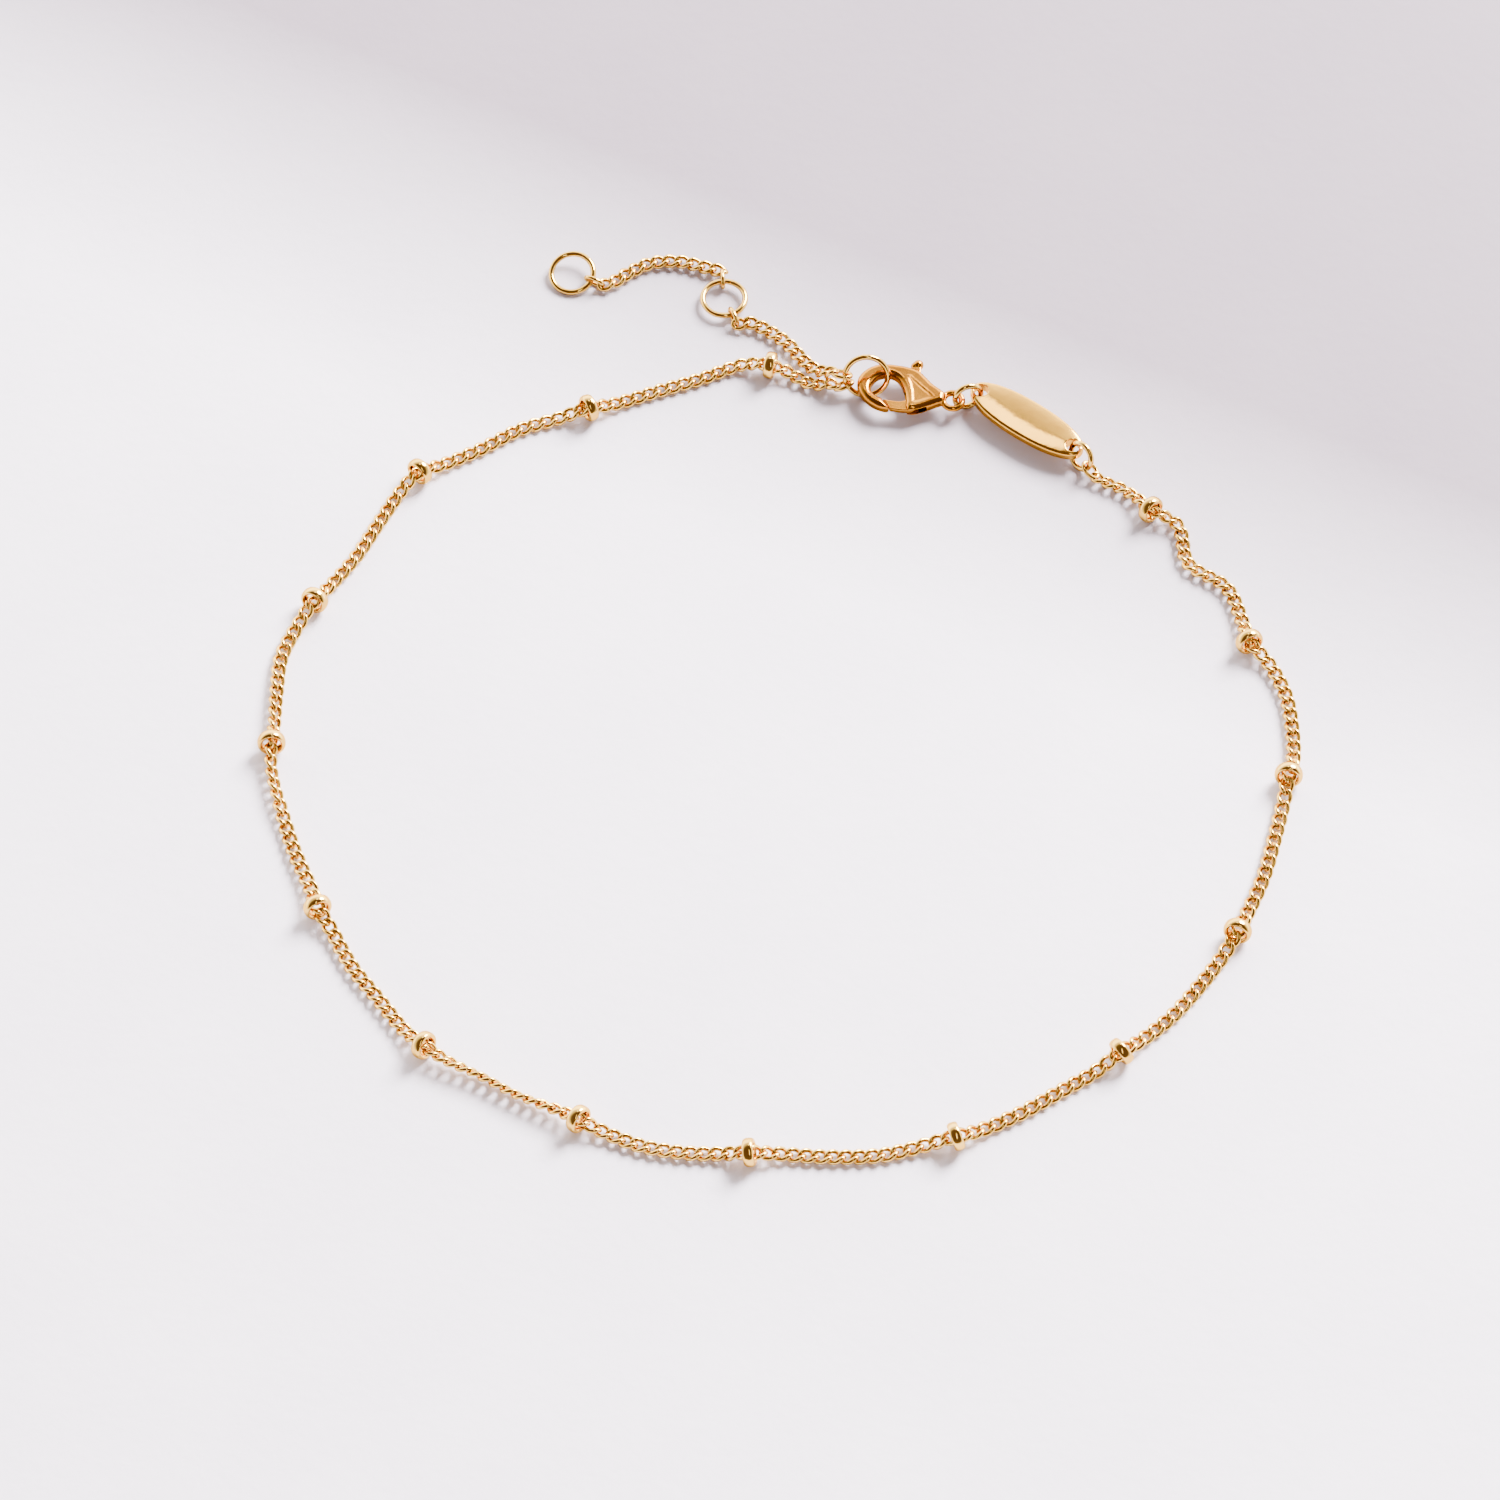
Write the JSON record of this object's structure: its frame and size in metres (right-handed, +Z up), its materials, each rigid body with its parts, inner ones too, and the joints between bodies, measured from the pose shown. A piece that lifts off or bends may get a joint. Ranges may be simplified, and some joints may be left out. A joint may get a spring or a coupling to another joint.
{
  "type": "anklet",
  "caption": "Fine curb chain anklet with small ring beads, a lobster clasp with a spring lever, an oval plain tag and an extender chain with sizing rings.",
  "frame": {"origin": "on the ground, under the middle of the outline of the anklet as it lies", "axes": "+Z up from the ground, +Y towards the clasp and the extender, +X to the right, where the tag is"},
  "size_m": [0.0767, 0.0804, 0.0033],
  "materials": {
    "gold": "polished yellow gold plating"
  },
  "bodies": {
    "anklet": {"bead_01": "gold", "bead_02": "gold", "bead_03": "gold", "bead_04": "gold", "bead_05": "gold", "bead_06": "gold", "bead_07": "gold", "bead_08": "gold", "bead_09": "gold", "bead_10": "gold", "bead_11": "gold", "bead_12": "gold", "bead_13": "gold", "bead_14": "gold", "bead_15": "gold", "clasp_body": "gold", "end_ring": "gold", "extender_chain_inner": "gold", "extender_chain_outer": "gold", "hook_ring": "gold", "main_chain_left": "gold", "main_chain_right": "gold", "middle_ring": "gold", "tag": "gold", "tag_link": "gold", "tag_ring": "gold"},
    "lever": {"clasp_lever": "gold"}
  },
  "joints": [
    {"name": "clasp_lever_hinge", "type": "hinge", "parent": "anklet", "child": "lever", "pos_m": [0.01054, 0.0263, 0.00115], "axis": [0, 0, -1], "range_deg": [0, 25], "stiffness_Nm_per_rad": 0.002, "springref_deg": -28.65}
  ]
}
